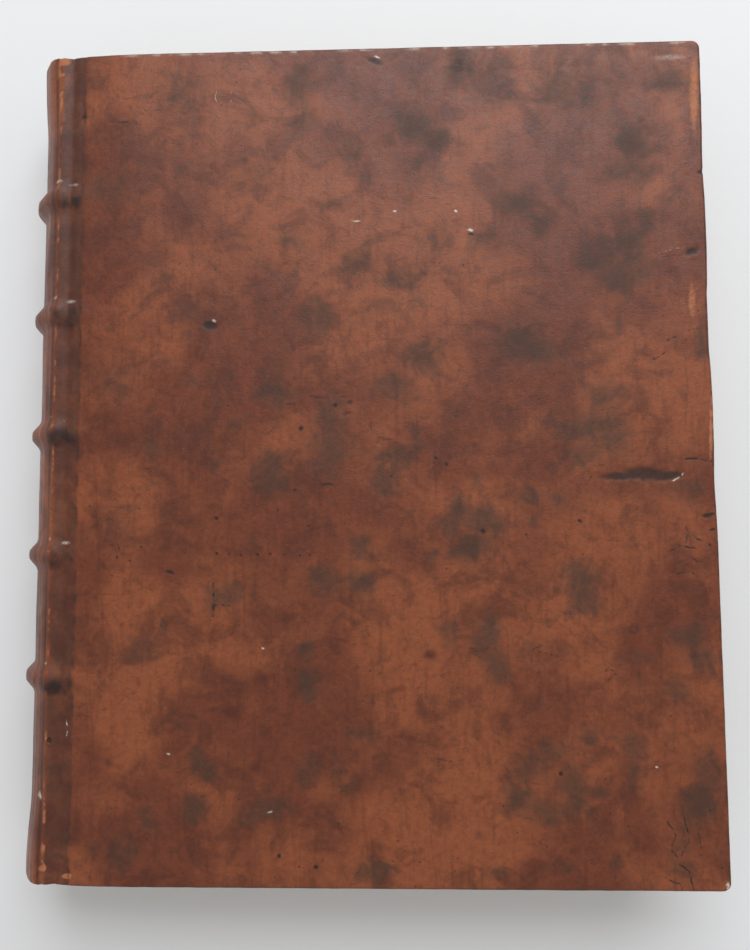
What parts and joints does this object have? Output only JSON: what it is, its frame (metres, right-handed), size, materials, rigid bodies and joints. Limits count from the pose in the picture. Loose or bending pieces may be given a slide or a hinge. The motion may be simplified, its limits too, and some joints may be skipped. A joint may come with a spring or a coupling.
{
  "type": "antique leather book",
  "caption": "Antique book bound in worn mottled brown calf, with raised bands on a round spine and hinged covers over a text block with a hollow fore edge.",
  "frame": {"origin": "centre of the book's footprint on the surface under its back cover", "axes": "+X from the spine to the fore edge, +Y from the tail to the head, +Z from the back cover up to the front cover"},
  "size_m": [0.2156, 0.258, 0.0355],
  "materials": {
    "calf": "aged mottled calf, dull to satin, worn orange at the edges",
    "pasteboard": "matte layered board",
    "pages": "aged rag paper",
    "endpaper": "aged laid paper",
    "lining": "matte pasted paper",
    "hemp": "twisted hemp cord",
    "endband_thread": "wound linen thread"
  },
  "bodies": {
    "back_cover": {"back_board": "pasteboard", "back_cover_leather": "calf", "back_pastedown": "endpaper", "back_cord_slip_1": "hemp", "back_cord_slip_2": "hemp", "back_cord_slip_3": "hemp", "back_cord_slip_4": "hemp", "back_cord_slip_5": "hemp"},
    "sewn_block": {"text_block": "pages", "front_flyleaf": "endpaper", "back_flyleaf": "endpaper", "head_endband": "endband_thread", "tail_endband": "endband_thread", "sewing_cord_1": "hemp", "sewing_cord_2": "hemp", "sewing_cord_3": "hemp", "sewing_cord_4": "hemp", "sewing_cord_5": "hemp", "spine_lining_1": "lining", "spine_lining_2": "lining", "spine_lining_3": "lining", "spine_lining_4": "lining", "spine_lining_5": "lining", "spine_lining_6": "lining", "spine_leather": "calf"},
    "front_cover": {"front_board": "pasteboard", "front_cover_leather": "calf", "front_pastedown": "endpaper", "front_cord_slip_1": "hemp", "front_cord_slip_2": "hemp", "front_cord_slip_3": "hemp", "front_cord_slip_4": "hemp", "front_cord_slip_5": "hemp"}
  },
  "joints": [
    {"name": "back_joint", "type": "hinge", "parent": "back_cover", "child": "sewn_block", "pos_m": [-0.0912, 0, 0.0012], "axis": [0, -1, 0], "range_deg": [0, 120]},
    {"name": "front_joint", "type": "hinge", "parent": "sewn_block", "child": "front_cover", "pos_m": [-0.0912, 0, 0.0343], "axis": [0, -1, 0], "range_deg": [0, 120]}
  ]
}
